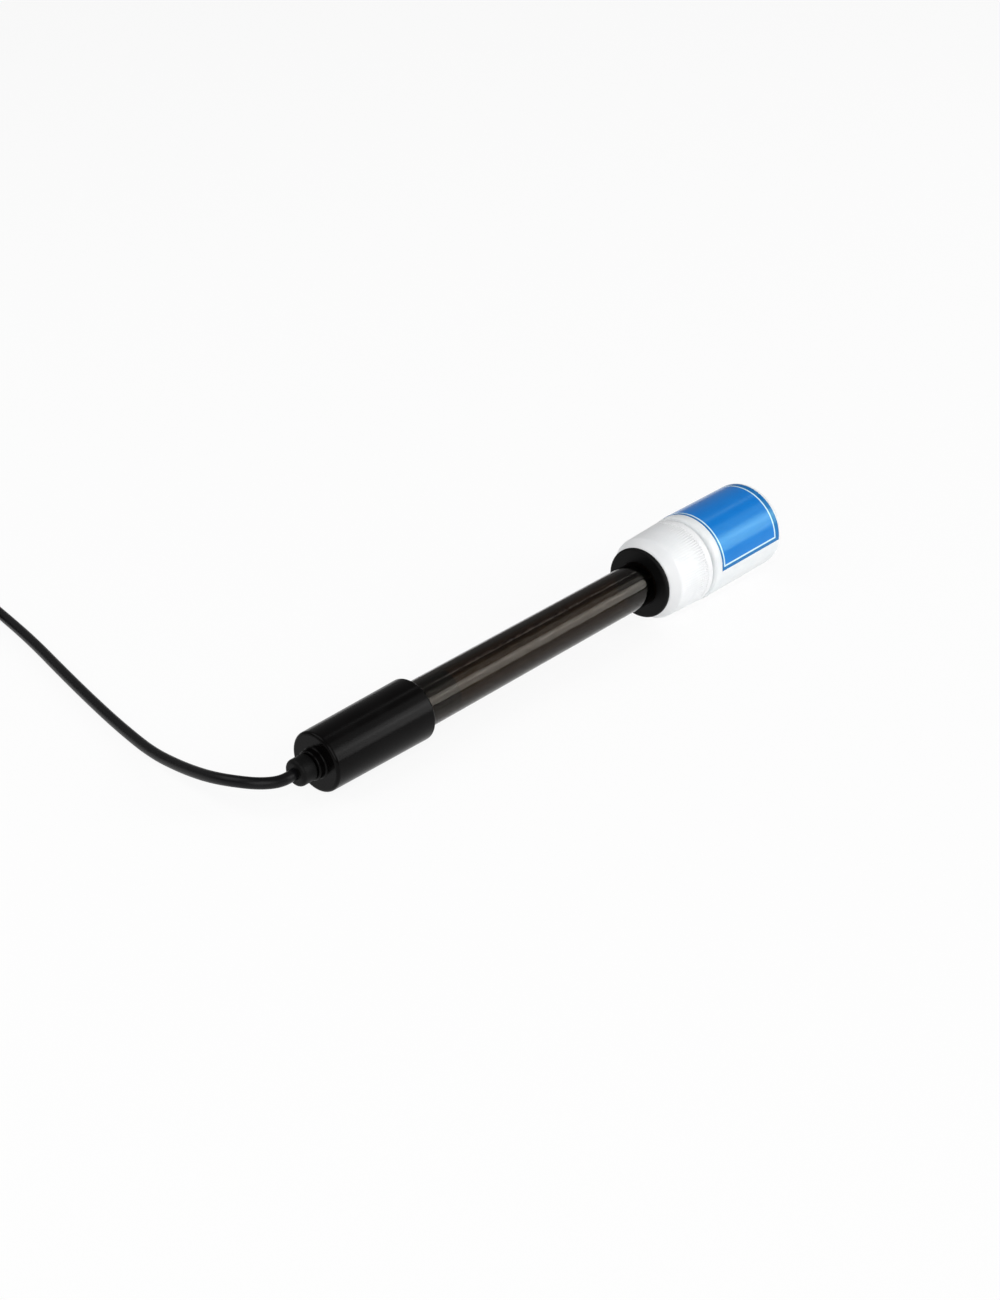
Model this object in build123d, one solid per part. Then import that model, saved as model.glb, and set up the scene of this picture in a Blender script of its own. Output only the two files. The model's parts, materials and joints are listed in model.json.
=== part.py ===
from build123d import *
import math
import os

# A combination pH electrode with its storage bottle on the tip, lying on a table.
# Millimetres. The electrode's own axis is drawn along X from the rear face of its head cap,
# and the whole is then tipped and raised until head cap and bottle both touch the table.

# Fits
GLUE_GAP = 0.05
SLIDE_GAP = 0.1
TURN_GAP = 0.15

# Body tube: a bare shaft to grip, then a slightly slimmer wet end with guard prongs
SHAFT_R = 6.0
SHAFT_LENGTH = 85.4
TUBE_WALL = 1.3
SPIGOT_STEP = 0.3
WET_STEP = 0.2
WET_LENGTH = 37.0
PRONG_COUNT = 4
PRONG_SLOT_WIDTH = 4.6
PRONG_SLOT_LENGTH = 9.0
PRONG_EDGE = 0.4

# Cable
CABLE_R = 1.4
CABLE_END_LENGTH = 0.8
CORE_R = 0.6
LEAD_R = 0.35
LEAD_BEND = 0.8
LEAD_LENGTH = 7.0

# Rubber strain relief round the cable
RELIEF_WALL = 0.95
RELIEF_NECK_LENGTH = 0.3
RELIEF_BEAD_STEP = 0.95
RELIEF_BEAD_LENGTH = 4.2
RELIEF_BEAD_EDGE = 1.0
RELIEF_FLANGE_STEP = 0.8
RELIEF_FLANGE_THICKNESS = 1.2

# Head cap with the boss that the strain relief sits in
HEAD_LENGTH = 31.3
HEAD_WALL = 2.2
HEAD_TAPER = 0.43
HEAD_REAR_EDGE = 0.8
HEAD_FRONT_EDGE = 0.5
HEAD_END_WALL = 3.0
HEAD_STOP = 1.3
BOSS_WALL = 1.25
BOSS_LENGTH = 1.9
BOSS_EDGE = 0.4

# Glass stem, its wires and the seals that hold them in the tube
STEM_GAP = 1.8
STEM_WALL = 0.5
BULB_SWELL = 0.7
BULB_WALL = 0.35
BULB_RECESS = 2.6
WIRE_R = 0.3
WIRE_START_GAP = 2.0
BULB_WIRE_MARGIN = 1.5
REFERENCE_WIRE_LENGTH = 75.0
POTTING_SHOW = 11.8
POTTING_OVERLAP = 14.0
STEM_PLUG_LENGTH = 6.0
STEM_PLUG_DEPTH = 1.0
SEAL_LENGTH = 8.0
SEAL_ABOVE_SLOTS = 5.0
JUNCTION_R = 0.5
JUNCTION_PROUD = 0.4

# Rubber bung on the shaft, in the hole of the bottle's screw cap
BUNG_WAIST_WALL = 2.1
BUNG_FLANGE_REACH = 1.5
BUNG_FLANGE_THICKNESS = 1.4
BUNG_FLANGE_EDGE = 0.6
BUNG_COLLAR_CLEARANCE = 0.6
BUNG_COLLAR_THICKNESS = 1.45
BUNG_NOSE_WALL = 1.1
BUNG_NOSE_LENGTH = 6.0
BUNG_NOSE_TAPER = 0.3
BUNG_NOSE_CLEARANCE = 0.4

# Screw cap and its gasket
CAP_TOP_STEP = 1.7
CAP_TOP_WALL = 1.8
CAP_BEVEL_LENGTH = 2.8
CAP_SKIRT_WALL = 1.9
CAP_SKIRT_TAPER = 0.5
CAP_LENGTH = 16.0
CAP_EDGE = 0.5
THREAD_ROOM = 0.7
GASKET_THICKNESS = 1.0
GASKET_NOSE_CLEARANCE = 0.55
GASKET_SKIRT_CLEARANCE = 0.4

# Bottle, its neck and its label. Neck and bottle are one moulding, drawn as two solids
NECK_WALL = 1.6
SHOULDER_GAP = 1.0
SHOULDER_WIDTH = 2.8
BOTTLE_LENGTH = 30.5
BOTTLE_WALL = 1.1
BOTTLE_SHOULDER_EDGE = 0.8
BOTTLE_BASE_EDGE = 1.8
BOTTLE_BASE_WALL = 1.4
BOTTLE_RIM_WIDTH = 3.4
BOTTLE_DISH_DEPTH = 0.6
LABEL_THICKNESS = 0.1
LABEL_START = 2.7
LABEL_LENGTH = 25.8
LABEL_FROM_DEG = -50.0
LABEL_SWEEP_DEG = 233.4

# Connector: a bayonet plug on the cable's far end
BOOT_LENGTH = 20.0
BOOT_TAIL_WALL = 1.15
BOOT_NOSE_WALL = 1.35
BOOT_NOSE_LENGTH = 3.2
BOOT_GROOVES = 3
BOOT_GROOVE_WIDTH = 0.9
BOOT_GROOVE_DEPTH = 0.5
FERRULE_WALL = 1.75
FERRULE_LENGTH = 13.0
PLUG_COLLAR_STEP = 2.0
PLUG_COLLAR_LENGTH = 5.8
SPINDLE_STEP = 0.7
SPINDLE_LENGTH = 5.2
SLEEVE_STEP = 0.45
SLEEVE_WALL = 0.55
SLEEVE_LENGTH = 9.0
SLEEVE_SLITS = 4
SLIT_WIDTH = 0.5
SLIT_LENGTH = 7.0
SLIT_FROM_DEG = 45.0
CLIP_PROUD = 0.35
CLIP_THICKNESS = 0.8
CLIP_GROOVE_DEPTH = 0.4
CLIP_OPENING = 2.0
COUPLING_WALL = 2.2
COUPLING_FLANGE = 2.6
COUPLING_LENGTH = 14.4
COUPLING_EDGE = 0.5
KNURL_COUNT = 24
KNURL_R = 0.45
KNURL_LENGTH = 7.5
BAYONET_SLOTS = 2
BAYONET_SLOT_WIDTH = 2.3
BAYONET_SLOT_LENGTH = 3.4
BAYONET_FROM_DEG = 90.0
BARREL_WALL = 1.45
INSULATOR_NOSE_STEP = 0.3
INSULATOR_NOSE_LENGTH = 5.0
INSULATOR_DEPTH = 2.9
PIN_R = 0.68
PIN_TIP_EDGE = 0.34
PIN_BARREL_STEP = 0.32
PIN_BARREL_LENGTH = 5.8
PIN_REACH = 2.4

# Cable route from the strain relief to the coil: steps in X and Y from the exit, heights above the table
CABLE_ROUTE = [
    (-4.2, 0.0, 7.15),
    (-8.3, 2.5, 7.5),
    (-11.2, 7.1, 7.6),
    (-12.2, 12.6, 6.7),
    (-12.1, 18.4, 5.5),
    (-11.4, 26.7, 4.0),
    (-9.9, 37.8, 2.4),
    (-6.8, 51.6, 1.5),
    (-3.5, 66.3, 1.4),
    (1.5, 86.3, 1.4),
    (7.4, 108.3, 1.4),
    (11.6, 128.3, 1.4),
    (14.4, 145.0, 1.4),
]
# Each corner's arc takes this share of the shorter run beside it
CORNER_SHARE = 0.45
# The spare length: a coil of four turns with three more in the grooves above them, and a tie round it
COIL_CENTRE = (-6.3, 148.5)
COIL_MEAN_R = 16.8
COIL_TURNS_WIDE = 4
COIL_LAYER_RISE = 2.42
COIL_EDGE = 1.0
TIE_WIDTH = 5.0
TIE_THICKNESS = 0.8
TIE_AT_DEG = 80.0
# The short tail from the coil to the connector, which lies beside it
TAIL_ROUTE = [
    (-25.6, 151.8, 3.8),
    (-26.8, 144.6, 4.2),
    (-27.9, 138.2, 5.8),
    (-29.0, 132.0, 7.0),
]
CONNECTOR_AT = (-30.0, 126.2)
CONNECTOR_HEADING_DEG = -99.7

# Radii that follow from the shaft, outward to the bottle and inward to the glass stem
tube_bore_r = SHAFT_R - TUBE_WALL
spigot_r = SHAFT_R - SPIGOT_STEP
wet_r = SHAFT_R - WET_STEP
stem_r = tube_bore_r - STEM_GAP
stem_bore_r = stem_r - STEM_WALL
bulb_r = stem_r + BULB_SWELL
annulus_r = (stem_r + tube_bore_r) / 2
spigot_socket_r = spigot_r + GLUE_GAP
head_front_r = spigot_socket_r + HEAD_WALL
head_rear_r = head_front_r - HEAD_TAPER
head_cavity_r = spigot_r - HEAD_STOP
bung_bore_r = SHAFT_R + SLIDE_GAP
bung_waist_r = bung_bore_r + BUNG_WAIST_WALL
bung_flange_r = bung_waist_r + BUNG_FLANGE_REACH
bung_nose_r = bung_bore_r + BUNG_NOSE_WALL
neck_bore_r = bung_nose_r + BUNG_NOSE_CLEARANCE
neck_r = neck_bore_r + NECK_WALL
bottle_r = neck_r + SHOULDER_WIDTH
bottle_inner_r = bottle_r - BOTTLE_WALL
dish_r = bottle_r - BOTTLE_RIM_WIDTH
cap_thread_r = neck_r + THREAD_ROOM
cap_rear_r = cap_thread_r + CAP_SKIRT_WALL
cap_front_r = cap_rear_r - CAP_SKIRT_TAPER
cap_top_r = cap_front_r - CAP_TOP_STEP
cap_hole_r = bung_waist_r + GLUE_GAP
bung_collar_r = cap_thread_r - BUNG_COLLAR_CLEARANCE
gasket_inner_r = bung_nose_r + GASKET_NOSE_CLEARANCE
gasket_outer_r = cap_thread_r - GASKET_SKIRT_CLEARANCE

# Radii that follow from the cable
cable_hole_r = CABLE_R + GLUE_GAP
relief_shank_r = cable_hole_r + RELIEF_WALL
relief_bead_r = relief_shank_r + RELIEF_BEAD_STEP
relief_flange_r = relief_shank_r + RELIEF_FLANGE_STEP
boss_hole_r = relief_shank_r + GLUE_GAP
boss_r = boss_hole_r + BOSS_WALL
ferrule_r = cable_hole_r + FERRULE_WALL
boot_tail_r = cable_hole_r + BOOT_TAIL_WALL
boot_socket_r = ferrule_r + GLUE_GAP
boot_nose_r = boot_socket_r + BOOT_NOSE_WALL
plug_collar_r = ferrule_r + PLUG_COLLAR_STEP
spindle_r = plug_collar_r - SPINDLE_STEP
clip_groove_r = spindle_r - CLIP_GROOVE_DEPTH
clip_r = spindle_r + CLIP_PROUD
coupling_bore_r = clip_r + TURN_GAP
coupling_flange_bore_r = spindle_r + TURN_GAP
coupling_r = coupling_bore_r + COUPLING_WALL
sleeve_r = spindle_r - SLEEVE_STEP
sleeve_bore_r = sleeve_r - SLEEVE_WALL
barrel_bore_r = clip_groove_r - BARREL_WALL
insulator_r = barrel_bore_r - GLUE_GAP
insulator_nose_r = insulator_r - INSULATOR_NOSE_STEP
pin_hole_r = PIN_R + GLUE_GAP
pin_barrel_r = PIN_R + PIN_BARREL_STEP
pin_barrel_hole_r = pin_barrel_r + GLUE_GAP

# Places along the electrode
shaft_end = HEAD_LENGTH + SHAFT_LENGTH
tip = shaft_end + WET_LENGTH
bead_front = -BOSS_LENGTH - RELIEF_NECK_LENGTH
relief_rear = bead_front - RELIEF_BEAD_LENGTH
relief_front = HEAD_END_WALL + RELIEF_FLANGE_THICKNESS
cable_start = relief_front + CABLE_END_LENGTH
wire_start = cable_start + LEAD_LENGTH
tube_rear = wire_start + WIRE_START_GAP
potting_front = HEAD_LENGTH + POTTING_SHOW
stem_rear = potting_front - POTTING_OVERLAP
stem_plug_rear = stem_rear + STEM_PLUG_DEPTH
stem_plug_front = stem_plug_rear + STEM_PLUG_LENGTH
bulb_centre = tip - BULB_RECESS - bulb_r
measuring_wire_end = bulb_centre + bulb_r - BULB_WALL - BULB_WIRE_MARGIN
slot_root = tip - PRONG_SLOT_LENGTH
seal_front = slot_root - SEAL_ABOVE_SLOTS
seal_rear = seal_front - SEAL_LENGTH
bung_face = shaft_end + SLIDE_GAP
cap_face = bung_face + BUNG_FLANGE_THICKNESS
bevel_end = cap_face + CAP_BEVEL_LENGTH
cap_inner_face = cap_face + CAP_TOP_WALL
bung_collar_front = cap_inner_face + BUNG_COLLAR_THICKNESS
bung_nose_end = bung_collar_front + BUNG_NOSE_LENGTH
gasket_rear = bung_collar_front + SLIDE_GAP
gasket_front = gasket_rear + GASKET_THICKNESS
neck_rim = gasket_front + SLIDE_GAP
cap_end = cap_face + CAP_LENGTH
shoulder = cap_end + SHOULDER_GAP
shoulder_inside = shoulder + BOTTLE_WALL
base = shoulder + BOTTLE_LENGTH
dish_floor = base - BOTTLE_DISH_DEPTH
floor_inside = dish_floor - BOTTLE_BASE_WALL

# Places along the connector, from the cable's end of its boot
ferrule_rear = BOOT_LENGTH - FERRULE_LENGTH
boot_taper_end = BOOT_LENGTH - BOOT_NOSE_LENGTH
collar_rear = BOOT_LENGTH
spindle_rear = collar_rear + PLUG_COLLAR_LENGTH
sleeve_rear = spindle_rear + SPINDLE_LENGTH
sleeve_front = sleeve_rear + SLEEVE_LENGTH
coupling_rear = spindle_rear + TURN_GAP
coupling_flange_front = coupling_rear + COUPLING_FLANGE
coupling_front = coupling_rear + COUPLING_LENGTH
clip_rear = coupling_flange_front + TURN_GAP
clip_front = clip_rear + CLIP_THICKNESS
insulator_rear = collar_rear + INSULATOR_DEPTH
insulator_front = sleeve_rear + INSULATOR_NOSE_LENGTH
pin_barrel_front = insulator_rear + PIN_BARREL_LENGTH
pin_front = insulator_front + PIN_REACH


def turned(outline, rounds=()):
    """A solid turned about X from (along, radius) points, with some corners rounded."""
    section = make_face(Polyline(*outline, close=True))
    for corner, radius in rounds:
        nearest = section.vertices().sort_by_distance((*corner, 0))[0]
        section = fillet(nearest, radius)
    return revolve(section, Axis.X)


def rod(radius, start, end, height=0.0):
    """A round bar along X, at a height above the axis."""
    bar = Cylinder(radius, end - start, align=(Align.CENTER, Align.CENTER, Align.MIN))
    return Pos(start, 0, height) * Rot(0, 90, 0) * bar


def ring(inner, outer, start, end):
    """A plain ring about X."""
    return rod(outer, start, end) - rod(inner, start, end)


def slot_block(start, length, width, reach):
    """A block along X that reaches up from the axis, to cut a slot with."""
    return Pos(start, 0, 0) * Box(length, width, reach, align=(Align.MIN, Align.CENTER, Align.MIN))


def around(count, start_deg=0.0):
    """Turns about X, evenly spaced."""
    return [Rot(start_deg + 360.0 * i / count, 0, 0) for i in range(count)]


def make_head_cap():
    return turned(
        [
            (-BOSS_LENGTH, boss_hole_r),
            (-BOSS_LENGTH, boss_r),
            (0, boss_r),
            (0, head_rear_r),
            (HEAD_LENGTH, head_front_r),
            (HEAD_LENGTH, spigot_socket_r),
            (tube_rear, spigot_socket_r),
            (tube_rear, head_cavity_r),
            (HEAD_END_WALL, head_cavity_r),
            (HEAD_END_WALL, boss_hole_r),
        ],
        rounds=[
            ((-BOSS_LENGTH, boss_r), BOSS_EDGE),
            ((0, boss_r), BOSS_EDGE),
            ((0, head_rear_r), HEAD_REAR_EDGE),
            ((HEAD_LENGTH, head_front_r), HEAD_FRONT_EDGE),
        ],
    )


def make_strain_relief():
    return turned(
        [
            (relief_rear, cable_hole_r),
            (relief_rear, relief_bead_r),
            (bead_front, relief_bead_r),
            (bead_front, relief_shank_r),
            (HEAD_END_WALL, relief_shank_r),
            (HEAD_END_WALL, relief_flange_r),
            (relief_front, relief_flange_r),
            (relief_front, cable_hole_r),
        ],
        rounds=[
            ((relief_rear, relief_bead_r), RELIEF_BEAD_EDGE),
            ((bead_front, relief_bead_r), BOSS_EDGE),
        ],
    )


def make_body_tube():
    tube = turned(
        [
            (tube_rear, tube_bore_r),
            (tube_rear, spigot_r),
            (HEAD_LENGTH, spigot_r),
            (HEAD_LENGTH, SHAFT_R),
            (shaft_end, SHAFT_R),
            (shaft_end, wet_r),
            (tip, wet_r),
            (tip, tube_bore_r),
        ],
        rounds=[((tip, wet_r), PRONG_EDGE)],
    )
    slot_half = PRONG_SLOT_WIDTH / 2
    root_centre = slot_root + slot_half
    round_root = Cylinder(slot_half, wet_r, align=(Align.CENTER, Align.CENTER, Align.MIN))
    straight = slot_block(root_centre, PRONG_SLOT_LENGTH, PRONG_SLOT_WIDTH, wet_r)
    slot = straight + Pos(root_centre, 0, 0) * round_root
    for turn in around(PRONG_COUNT):
        tube -= turn * slot
    return tube


def make_glass_stem():
    bulb_place = Pos(bulb_centre, 0, 0)
    outside = rod(stem_r, stem_rear, bulb_centre) + bulb_place * Sphere(bulb_r)
    inside = rod(stem_bore_r, stem_rear, bulb_centre) + bulb_place * Sphere(bulb_r - BULB_WALL)
    return outside - inside


def make_potting_plug():
    plug = rod(tube_bore_r - GLUE_GAP, tube_rear, potting_front)
    plug -= rod(stem_r + GLUE_GAP, stem_rear, potting_front)
    plug -= rod(WIRE_R + GLUE_GAP, tube_rear, stem_rear)
    return plug - rod(WIRE_R + GLUE_GAP, tube_rear, potting_front, annulus_r)


def make_lower_seal():
    seal = ring(stem_r + GLUE_GAP, tube_bore_r - GLUE_GAP, seal_rear, seal_front)
    return seal - rod(JUNCTION_R + GLUE_GAP, seal_rear, seal_front, -annulus_r)


def make_shield_lead():
    near_core = CORE_R + GLUE_GAP + LEAD_R
    half_way = (cable_start + wire_start) / 2
    path = FilletPolyline(
        (cable_start, 0, near_core),
        (half_way - LEAD_BEND, 0, near_core),
        (half_way + LEAD_BEND, 0, annulus_r),
        (wire_start, 0, annulus_r),
        radius=LEAD_BEND,
    )
    return sweep(Plane(path @ 0, z_dir=path % 0) * Circle(LEAD_R), path)


def make_seal_bung():
    return turned(
        [
            (bung_face, bung_bore_r),
            (bung_face, bung_flange_r),
            (cap_face, bung_flange_r),
            (cap_face, bung_waist_r),
            (cap_inner_face, bung_waist_r),
            (cap_inner_face, bung_collar_r),
            (bung_collar_front, bung_collar_r),
            (bung_collar_front, bung_nose_r),
            (bung_nose_end, bung_nose_r - BUNG_NOSE_TAPER),
            (bung_nose_end, bung_bore_r),
        ],
        rounds=[
            ((bung_face, bung_flange_r), BUNG_FLANGE_EDGE),
            ((cap_face, bung_flange_r), BUNG_FLANGE_EDGE),
        ],
    )


def make_bottle_cap():
    return turned(
        [
            (cap_face, cap_hole_r),
            (cap_face, cap_top_r),
            (bevel_end, cap_front_r),
            (cap_end, cap_rear_r),
            (cap_end, cap_thread_r),
            (cap_inner_face, cap_thread_r),
            (cap_inner_face, cap_hole_r),
        ],
        rounds=[
            ((bevel_end, cap_front_r), CAP_EDGE),
            ((cap_end, cap_rear_r), CAP_EDGE),
        ],
    )


def make_bottle():
    return turned(
        [
            (shoulder, neck_r),
            (shoulder, bottle_r),
            (base, bottle_r),
            (base, dish_r),
            (dish_floor, dish_r - BOTTLE_DISH_DEPTH),
            (dish_floor, 0),
            (floor_inside, 0),
            (floor_inside, bottle_inner_r),
            (shoulder_inside, bottle_inner_r),
            (shoulder_inside, neck_r),
        ],
        rounds=[
            ((shoulder, bottle_r), BOTTLE_SHOULDER_EDGE),
            ((base, bottle_r), BOTTLE_BASE_EDGE),
            ((floor_inside, bottle_inner_r), BOTTLE_SHOULDER_EDGE),
        ],
    )


def make_bottle_label():
    start = shoulder + LABEL_START
    end = start + LABEL_LENGTH
    outer = bottle_r + LABEL_THICKNESS
    outline = Polyline((start, bottle_r), (start, outer), (end, outer), (end, bottle_r), close=True)
    return revolve(Rot(LABEL_FROM_DEG, 0, 0) * make_face(outline), Axis.X, LABEL_SWEEP_DEG)


def lying_angle():
    """The tilt at which the head cap's rounded rear edge and the bottle's shoulder share one table."""
    taper = math.atan2(HEAD_TAPER, HEAD_LENGTH)
    rear_side = head_rear_r + HEAD_REAR_EDGE * math.tan(taper)
    rear_arc = (HEAD_REAR_EDGE, rear_side - HEAD_REAR_EDGE / math.cos(taper))
    front_arc = (shoulder + BOTTLE_SHOULDER_EDGE, bottle_r - BOTTLE_SHOULDER_EDGE)
    along = front_arc[0] - rear_arc[0]
    rise = front_arc[1] - rear_arc[1]
    edge_turn = math.asin((HEAD_REAR_EDGE - BOTTLE_SHOULDER_EDGE) / math.hypot(along, rise))
    tilt = math.atan2(rise, along) - edge_turn
    height = rear_arc[1] * math.cos(tilt) - rear_arc[0] * math.sin(tilt) + HEAD_REAR_EDGE
    return math.degrees(tilt), height


def make_connector_boot():
    boot = turned(
        [
            (0, cable_hole_r),
            (0, boot_tail_r),
            (boot_taper_end, boot_nose_r),
            (BOOT_LENGTH, boot_nose_r),
            (BOOT_LENGTH, boot_socket_r),
            (ferrule_rear, boot_socket_r),
            (ferrule_rear, cable_hole_r),
        ]
    )
    slope = (boot_nose_r - boot_tail_r) / boot_taper_end
    pitch = ferrule_rear / BOOT_GROOVES
    for i in range(BOOT_GROOVES):
        start = pitch * (i + 0.5) - BOOT_GROOVE_WIDTH / 2
        groove_r = boot_tail_r + slope * start - BOOT_GROOVE_DEPTH
        boot -= ring(groove_r, boot_nose_r, start, start + BOOT_GROOVE_WIDTH)
    return boot


def make_connector_body():
    body = turned(
        [
            (ferrule_rear, cable_hole_r),
            (ferrule_rear, ferrule_r),
            (collar_rear, ferrule_r),
            (collar_rear, plug_collar_r),
            (spindle_rear, plug_collar_r),
            (spindle_rear, spindle_r),
            (clip_rear - GLUE_GAP, spindle_r),
            (clip_rear - GLUE_GAP, clip_groove_r),
            (clip_front + GLUE_GAP, clip_groove_r),
            (clip_front + GLUE_GAP, spindle_r),
            (sleeve_rear, spindle_r),
            (sleeve_rear, sleeve_r),
            (sleeve_front, sleeve_r),
            (sleeve_front, sleeve_bore_r),
            (sleeve_rear, sleeve_bore_r),
            (sleeve_rear, barrel_bore_r),
            (insulator_rear, barrel_bore_r),
            (insulator_rear, cable_hole_r),
        ]
    )
    slit = slot_block(sleeve_front - SLIT_LENGTH, SLIT_LENGTH, SLIT_WIDTH, sleeve_r)
    for turn in around(SLEEVE_SLITS, SLIT_FROM_DEG):
        body -= turn * slit
    return body


def make_connector_insulator():
    return turned(
        [
            (insulator_rear, pin_barrel_hole_r),
            (insulator_rear, insulator_r),
            (sleeve_rear, insulator_r),
            (sleeve_rear, insulator_nose_r),
            (insulator_front, insulator_nose_r),
            (insulator_front, pin_hole_r),
            (pin_barrel_front, pin_hole_r),
            (pin_barrel_front, pin_barrel_hole_r),
        ]
    )


def make_centre_pin():
    return turned(
        [
            (insulator_rear, 0),
            (insulator_rear, pin_barrel_r),
            (pin_barrel_front, pin_barrel_r),
            (pin_barrel_front, PIN_R),
            (pin_front, PIN_R),
            (pin_front, 0),
        ],
        rounds=[((pin_front, PIN_R), PIN_TIP_EDGE)],
    )


def make_retaining_clip():
    clip = ring(clip_groove_r + GLUE_GAP, clip_r, clip_rear, clip_front)
    return clip - slot_block(clip_rear, CLIP_THICKNESS, CLIP_OPENING, clip_r)


def make_coupling_ring():
    coupling = turned(
        [
            (coupling_rear, coupling_flange_bore_r),
            (coupling_rear, coupling_r),
            (coupling_front, coupling_r),
            (coupling_front, coupling_bore_r),
            (coupling_flange_front, coupling_bore_r),
            (coupling_flange_front, coupling_flange_bore_r),
        ],
        rounds=[
            ((coupling_rear, coupling_r), COUPLING_EDGE),
            ((coupling_front, coupling_r), COUPLING_EDGE),
        ],
    )
    knurl = rod(KNURL_R, coupling_rear, coupling_rear + KNURL_LENGTH, coupling_r)
    for turn in around(KNURL_COUNT, 180.0 / KNURL_COUNT):
        coupling -= turn * knurl
    slot_start = coupling_front - BAYONET_SLOT_LENGTH
    slot = slot_block(slot_start, BAYONET_SLOT_LENGTH, BAYONET_SLOT_WIDTH, coupling_r)
    for turn in around(BAYONET_SLOTS, BAYONET_FROM_DEG):
        coupling -= turn * slot
    return coupling


def corner_radii(points):
    """The arc radius at each inner point of a route."""
    radii = []
    for before, here, after in zip(points, points[1:], points[2:]):
        run_in = Vector(here) - Vector(before)
        run_out = Vector(after) - Vector(here)
        half_turn = math.radians(run_in.get_angle(run_out) / 2)
        radii.append(CORNER_SHARE * min(run_in.length, run_out.length) / math.tan(half_turn))
    return radii


def cable_along(name, points):
    """A round cable on straight runs joined by tangent arcs, with its length, radii and volume printed."""
    radii = corner_radii(points)
    path = FilletPolyline(*points, radius=radii)
    tube = sweep(Plane(path @ 0, z_dir=path % 0) * Circle(CABLE_R), path)
    expected = math.pi * CABLE_R**2 * path.length
    print(name, "length", round(path.length, 1), "volume ratio", round(tube.volume / expected, 4))
    print(name, "radii", [round(radius, 1) for radius in radii])
    return tube


# Pieces on the electrode's axis
electrode_side = {
    "body_tube": make_body_tube(),
    "head_cap": make_head_cap(),
    "strain_relief": make_strain_relief(),
    "glass_stem": make_glass_stem(),
    "stem_plug": ring(WIRE_R + GLUE_GAP, stem_bore_r - GLUE_GAP, stem_plug_rear, stem_plug_front),
    "measuring_wire": rod(WIRE_R, wire_start, measuring_wire_end),
    "reference_wire": rod(WIRE_R, wire_start, wire_start + REFERENCE_WIRE_LENGTH, annulus_r),
    "reference_junction": rod(
        JUNCTION_R, seal_rear - JUNCTION_PROUD, seal_front + JUNCTION_PROUD, -annulus_r
    ),
    "lower_seal": make_lower_seal(),
    "potting_plug": make_potting_plug(),
    "signal_core": rod(CORE_R, cable_start, wire_start),
    "shield_lead": make_shield_lead(),
    "seal_bung": make_seal_bung(),
    "bottle_cap": make_bottle_cap(),
    "cap_gasket": ring(gasket_inner_r, gasket_outer_r, gasket_rear, gasket_front),
    "bottle_neck": ring(neck_bore_r, neck_r, neck_rim, shoulder_inside),
    "bottle": make_bottle(),
    "bottle_label": make_bottle_label(),
}

# Tip it until it lies, raise it onto the table, and centre its length on the origin
tilt_deg, axis_height = lying_angle()
tipped = Location((0, 0, axis_height), (0, -tilt_deg, 0))
rear_x = (tipped * electrode_side["strain_relief"]).bounding_box().min.X
front_x = (tipped * electrode_side["bottle"]).bounding_box().max.X
lying = Pos(-(rear_x + front_x) / 2, 0, 0) * tipped
pieces = {name: lying * solid for name, solid in electrode_side.items()}

# The cable: through the strain relief, along the table to the coil, and from the coil to the connector
exit_point = (lying * Pos(relief_rear, 0, 0)).position


def from_exit(step):
    return (exit_point.X + step[0], step[1], step[2])


coil_width = COIL_TURNS_WIDE * 2 * CABLE_R
coil_height = 2 * CABLE_R + COIL_LAYER_RISE
coil_middle = Pos(exit_point.X + COIL_CENTRE[0], COIL_CENTRE[1], 0)
tie_sweep_deg = math.degrees(TIE_WIDTH / COIL_MEAN_R)


def coil_arc(inset, from_deg, sweep_deg):
    """A stretch of the coil about Z, its section smaller all round by an inset."""
    section = RectangleRounded(coil_width - 2 * inset, coil_height - 2 * inset, COIL_EDGE)
    upright = Plane.XZ * Pos(COIL_MEAN_R, coil_height / 2) * section
    return revolve(Rot(0, 0, from_deg) * upright, Axis.Z, sweep_deg)


tie_from_deg = TIE_AT_DEG - tie_sweep_deg / 2
tie_to_deg = TIE_AT_DEG + tie_sweep_deg / 2
held_core = coil_arc(TIE_THICKNESS, tie_from_deg, 360.0)
coil = coil_middle * (coil_arc(0.0, tie_to_deg, 360.0 - tie_sweep_deg) + held_core)
pieces["cable_coil"] = coil
pieces["coil_tie"] = coil_middle * (coil_arc(0.0, tie_from_deg, tie_sweep_deg) - held_core)

entry = lying * rod(CABLE_R, relief_rear, cable_start)
run = cable_along("cable_run", [tuple(exit_point), *[from_exit(step) for step in CABLE_ROUTE]])
pieces["cable_run"] = entry + run - coil

boot_end = from_exit((*CONNECTOR_AT, coupling_r))
connector_place = Location(boot_end, (0, 0, CONNECTOR_HEADING_DEG))
tail = cable_along("cable_tail", [*[from_exit(step) for step in TAIL_ROUTE], boot_end])
tail_end = connector_place * rod(CABLE_R, 0, ferrule_rear)
pieces["cable_tail"] = tail + tail_end - coil

connector_pieces = {
    "connector_boot": make_connector_boot(),
    "connector_body": make_connector_body(),
    "connector_insulator": make_connector_insulator(),
    "centre_pin": make_centre_pin(),
    "retaining_clip": make_retaining_clip(),
    "coupling_ring": make_coupling_ring(),
}
for name, solid in connector_pieces.items():
    pieces[name] = connector_place * solid

os.makedirs("parts", exist_ok=True)
for name, solid in pieces.items():
    export_step(solid, f"parts/{name}.step")
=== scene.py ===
import json
import math

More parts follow.
